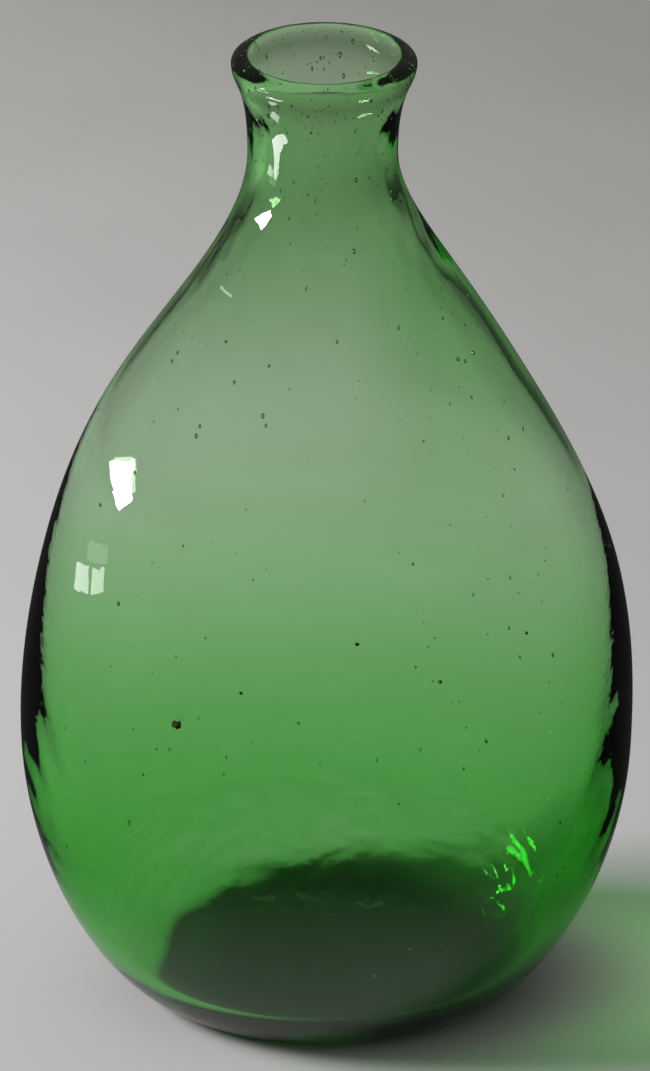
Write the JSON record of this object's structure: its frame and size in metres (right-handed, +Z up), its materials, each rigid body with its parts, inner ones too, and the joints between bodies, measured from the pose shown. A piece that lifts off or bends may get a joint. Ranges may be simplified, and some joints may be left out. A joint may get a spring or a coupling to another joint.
{
  "type": "pocket bottle",
  "caption": "Flattened teardrop pocket bottle of green blown glass, with a round flared mouth, walls that thicken downwards, a thick floor and a shallow hollow under the foot.",
  "frame": {"origin": "on the surface it stands on, under the middle of the belly", "axes": "+Z up through the mouth, X across the broad faces, Y through the broad faces; the pictured face looks along -Y"},
  "size_m": [0.0886, 0.0532, 0.15],
  "materials": {
    "green_glass": "clear green blown glass, smooth and slightly wavy, with small bubbles"
  },
  "bodies": {
    "root": {"glass_bottle": "green_glass"}
  },
  "joints": []
}
